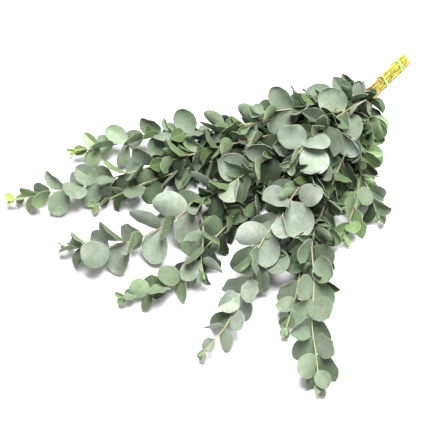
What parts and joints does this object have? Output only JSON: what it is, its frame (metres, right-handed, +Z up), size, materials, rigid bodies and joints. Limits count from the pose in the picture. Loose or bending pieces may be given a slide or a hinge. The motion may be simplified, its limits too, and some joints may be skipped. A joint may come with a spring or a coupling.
{
  "type": "eucalyptus bunch",
  "caption": "Tied bunch of cut eucalyptus branches with round silvery leaves in pairs, fanned out and lying on a surface.",
  "frame": {"origin": "on the surface the bunch lies on, under the inner tie", "axes": "+X along the bunch from the ties towards the branch tips, +Y to the left seen from the ties, +Z up"},
  "size_m": [0.6176, 0.5355, 0.1223],
  "materials": {
    "eucalyptus": "waxy grey-green leaves with a pale bloom on yellow-green stems",
    "rubber_tie": "smooth pale green rubber"
  },
  "bodies": {
    "root": {"branch_centre": "eucalyptus", "branch_centre_lower": "eucalyptus", "branch_left_edge": "eucalyptus", "branch_left_inner": "eucalyptus", "branch_left_middle": "eucalyptus", "branch_left_outer": "eucalyptus", "branch_right_long": "eucalyptus", "branch_right_lower": "eucalyptus", "branch_right_upper": "eucalyptus", "branch_under_left": "eucalyptus", "branch_under_right": "eucalyptus", "sprig_centre": "eucalyptus", "sprig_right": "eucalyptus", "sprig_top": "eucalyptus", "tie_inner": "rubber_tie", "tie_outer": "rubber_tie"}
  },
  "joints": []
}
